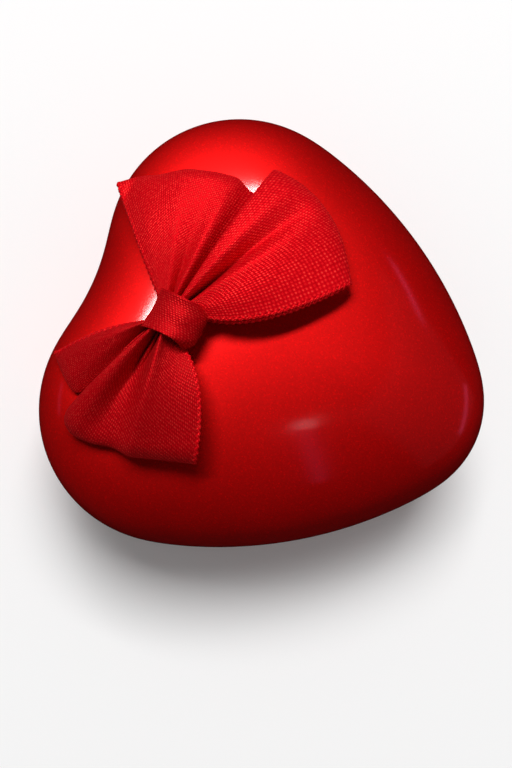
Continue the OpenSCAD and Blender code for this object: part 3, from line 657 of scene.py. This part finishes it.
def stitched_edge(name, line, inward):
    """The woven edge of the ribbon: a cord of slanting stitches along a line of points."""
    run = np.concatenate([[0], np.cumsum(np.linalg.norm(np.diff(line, axis=0), axis=1))])
    count = int(run[-1] / STITCH_STEP)
    at = np.linspace(0, run[-1], count)
    middle = np.stack([np.interp(at, run, line[:, k]) for k in range(3)], 1)
    inner = np.stack([np.interp(at, run, inward[:, k]) for k in range(3)], 1)
    ahead = np.gradient(middle, axis=0)
    ahead /= np.linalg.norm(ahead, axis=1)[:, None]
    side = inner - middle
    side -= (side * ahead).sum(1)[:, None] * ahead
    side /= np.linalg.norm(side, axis=1)[:, None] + 1e-9
    face = np.cross(ahead, side)
    turns = 2 * np.pi * at / STITCH_PITCH
    wave = 0.5 + 0.5 * np.cos(turns)
    rows = []
    for k in range(STITCH_SIDES):
        a = 2 * np.pi * k / STITCH_SIDES
        # the cord's half width and half height swell with each stitch
        swell = 0.5 + 0.5 * np.cos(turns + 1.4 * math.cos(a))
        wide = 0.26 + 0.20 * swell
        tall = 0.13 + 0.1 * swell
        rows.append(middle + side * (math.cos(a) * wide + 0.12 * wave)[:, None]
                    + face * (math.sin(a) * tall)[:, None])
    shape = bmesh.new()
    layer = shape.loops.layers.uv.new("cloth")
    verts = [[shape.verts.new(row[i] * MM) for row in rows] for i in range(count)]
    for i in range(count - 1):
        for k in range(STITCH_SIDES):
            m = (k + 1) % STITCH_SIDES
            patch = shape.faces.new([verts[i][k], verts[i][m], verts[i + 1][m], verts[i + 1][k]])
            patch.smooth = True
            for loop, (u, v) in zip(patch.loops, ((k, i), (k + 1, i), (k + 1, i + 1), (k, i + 1))):
                loop[layer].uv = (u * FLOAT_ACROSS, v * STITCH_STEP)
    shape.faces.new(verts[0][::-1])
    shape.faces.new(verts[-1])
    edge = new_piece(name, shape)
    edge.data.materials.append(SATIN)
    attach(edge, "lid")
    return edge


def build_loop(side, fold, pinch, gather_h, under_h, cloth):
    """One loop of the bow and its two selvages."""
    grid = loop_grid(fold, pinch, gather_h, under_h)
    loop = cloth_from_grid(f"ribbon_loop_{side}", grid, RIBBON_W, cloth)
    edges = [stitched_edge(f"selvage_{side}_{where}", grid[:, at], grid[:, near])
             for where, at, near in (("back", 0, 4), ("front", -1, -5))]
    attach(loop, "lid")
    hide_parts(f"bow_loop_{side}")


# The band at the knot: its place and turn in plan, its width, its half length
# and half height, the height of its middle over the dome, and its slope
KNOT_X = -3.4
KNOT_Y = 19.4
KNOT_TURN = math.radians(-6)
KNOT_W = 8.0
KNOT_HALF_L = 5.3
KNOT_HALF_H = 3.9
KNOT_MIDDLE_H = 3.0
KNOT_SLOPE = 0.22


def build_knot():
    """The band wraps the pinched middle: up the back, over the top and down the front."""
    columns, rows = 26, 90
    base = float(dome_z(np.array(KNOT_X), np.array(KNOT_Y)))
    turn_cos, turn_sin = math.cos(KNOT_TURN), math.sin(KNOT_TURN)
    grid = np.zeros((rows, columns, 3))
    for i in range(rows):
        a = math.radians(-30 + 240 * i / (rows - 1))
        over = max(0, math.sin(a))
        for j in range(columns):
            u = j / (columns - 1) - 0.5
            waist = 1 - 0.1 * math.cos(math.pi * u)
            x = u * KNOT_W * (1 - 0.1 * over)
            y = KNOT_HALF_L * math.cos(a) * waist
            if y < 0:
                # the front corners tuck in under the loops
                y *= 1 - 0.42 * (2 * abs(u)) ** 4
            z = KNOT_MIDDLE_H + KNOT_HALF_H * math.sin(a) * waist
            z += 0.12 * math.sin(11 * u + 1.0) * over
            turned_x = x * turn_cos - y * turn_sin
            turned_y = x * turn_sin + y * turn_cos
            grid[i, j] = (KNOT_X + turned_x, KNOT_Y + turned_y, base + z - KNOT_SLOPE * turned_y)
    # the knot wears the darker satin copy, as painted shade
    knot = cloth_from_grid("ribbon_knot", grid, KNOT_W, SHADED_SATIN)
    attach(knot, "lid")
    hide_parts("bow_knot")


build_loop("right", RIGHT_FOLD, RIGHT_PINCH, 0.1, 0.3, SATIN)
# the left loop wears the darker satin copy, as painted shade
build_loop("left", LEFT_FOLD, LEFT_PINCH, 0.15, 0.95, SHADED_SATIN)
build_knot()


# ---------------------------------------------------------------- stage and lights
def add_floor():
    """A wide white floor that shows in no reflection."""
    bpy.ops.mesh.primitive_plane_add(size=6, location=(0, 0, 0))
    floor = bpy.context.object
    floor.name = "floor"
    made, _, shader = new_material("white_floor")
    shader.inputs["Base Color"].default_value = (0.9, 0.9, 0.9, 1)
    shader.inputs["Roughness"].default_value = 0.8
    shader.inputs["Specular IOR Level"].default_value = 0.0
    floor.data.materials.append(made)
    floor.visible_glossy = False
    return floor


LAMPS_AIM = (0, 0, 0.04)


def add_light(name, toward, far, size, power, group, along=(0, 1, 0), colour=(1, 1, 1)):
    """A soft rectangular lamp, far metres out in a direction, its length laid along another."""
    data = bpy.data.lights.new(name, "AREA")
    data.shape = "RECTANGLE"
    data.size, data.size_y = size
    data.energy = power
    data.color = colour
    lamp = bpy.data.objects.new(name, data)
    back = Vector(toward).normalized()
    lamp.location = Vector(LAMPS_AIM) + back * far
    side = (Vector(along) - back * back.dot(Vector(along))).normalized()
    lamp.rotation_euler = Matrix((side, back.cross(side), back)).transposed().to_euler()
    bpy.context.scene.collection.objects.link(lamp)
    lamp.light_linking.receiver_collection = group


def lamp_group(name, floor, state):
    """A collection that keeps a lamp off the floor, or on the floor alone."""
    made = bpy.data.collections.new(name)
    made.objects.link(floor)
    made.collection_objects[0].light_linking.link_state = state
    return made


def right_loop_group():
    """A collection that keeps a lamp to the right loop and its two selvages."""
    made = bpy.data.collections.new("lamp_on_right_loop")
    for piece in ("ribbon_loop_right", "selvage_right_back", "selvage_right_front"):
        made.objects.link(bpy.data.objects[piece])
    return made


def shiny_group():
    """A collection of the bare metal, the mirror and the clear cover."""
    made = bpy.data.collections.new("lamps_on_metal")
    for part in frame["record"]["subparts"]:
        shape = frame["nodes"].get(part["node"])
        if part["material_slot"] in SHINY and shape is not None:
            made.objects.link(shape)
    return made


def add_lights(floor):
    """A dim white room, one lamp for the floor alone, and the other lamps for the object alone."""
    bpy.context.scene.view_settings.view_transform = "Standard"
    world = bpy.data.worlds.new("room")
    bpy.context.scene.world = world
    world.use_nodes = True
    world.node_tree.nodes["Background"].inputs["Color"].default_value = (1, 1, 1, 1)
    world.node_tree.nodes["Background"].inputs["Strength"].default_value = 0.3
    world.cycles_visibility.glossy = False
    spared = lamp_group("lamps_skip_floor", floor, "EXCLUDE")
    only = lamp_group("lamps_on_floor", floor, "INCLUDE")
    magenta = (1, 0.12, 0.3)
    # the floor's lamp, and the light of the whole object
    add_light("floor_top", (0.31, 0.13, 0.94), 1.2, (0.5, 0.5), 13.0, only)
    add_light("key", (0.42, 0.43, 0.8), 1.0, (0.76, 0.16), 11.5, spared, (-0.53, 0.45, -0.1))
    add_light("fill", (0.2, -0.8, 0.5), 1.2, (1.5, 1.5), 0.8, spared, colour=(1, 0.3, 0.35))
    # the streaks and the spot on the lid's coat
    add_light("strip", (-0.36, -0.38, 0.8), 1.0, (0.6, 0.03), 0.075, spared,
              (-0.43, -0.34, -0.38), magenta)
    add_light("right", (0.757, -0.499, 0.421), 1.0, (0.2, 0.04), 0.075, spared,
              (0.2, 0.5, -0.3), magenta)
    add_light("low", (0.3, -0.95, 0.12), 1.0, (0.5, 0.1), 0.25, spared, (0.95, 0.3, 0), magenta)
    add_light("left", (-0.275, 0.942, 0.19), 1.0, (0.25, 0.06), 0.04, spared, (1, 0.3, 0), magenta)
    add_light("glint", (-0.192, -0.264, 0.96), 1.0, (0.014, 0.014), 0.03, spared,
              colour=(1, 0.5, 0.5))
    # the right loop is the brighter one in the photograph
    add_light("ribbon_front", (0.1, -0.75, 0.65), 1.2, (0.8, 0.8), 3.8, right_loop_group())
    # a room for the metal to reflect
    shiny = shiny_group()
    sides = {"back": (0, 0.9, 0.5), "east": (0.9, 0.1, 0.5), "front": (0, -0.9, 0.5),
             "west": (-0.9, 0.1, 0.5), "above": (0.1, 0, 1)}
    for side, toward in sides.items():
        add_light(f"metal_{side}", toward, 1.3, (1.4, 1.4), 1.3, shiny)
    # stands in for the white floor, which the metal's reflections pass through
    add_light("metal_floor", (0, 0.01, -1), 0.3, (3, 3), 7.0, shiny)


add_lights(add_floor())
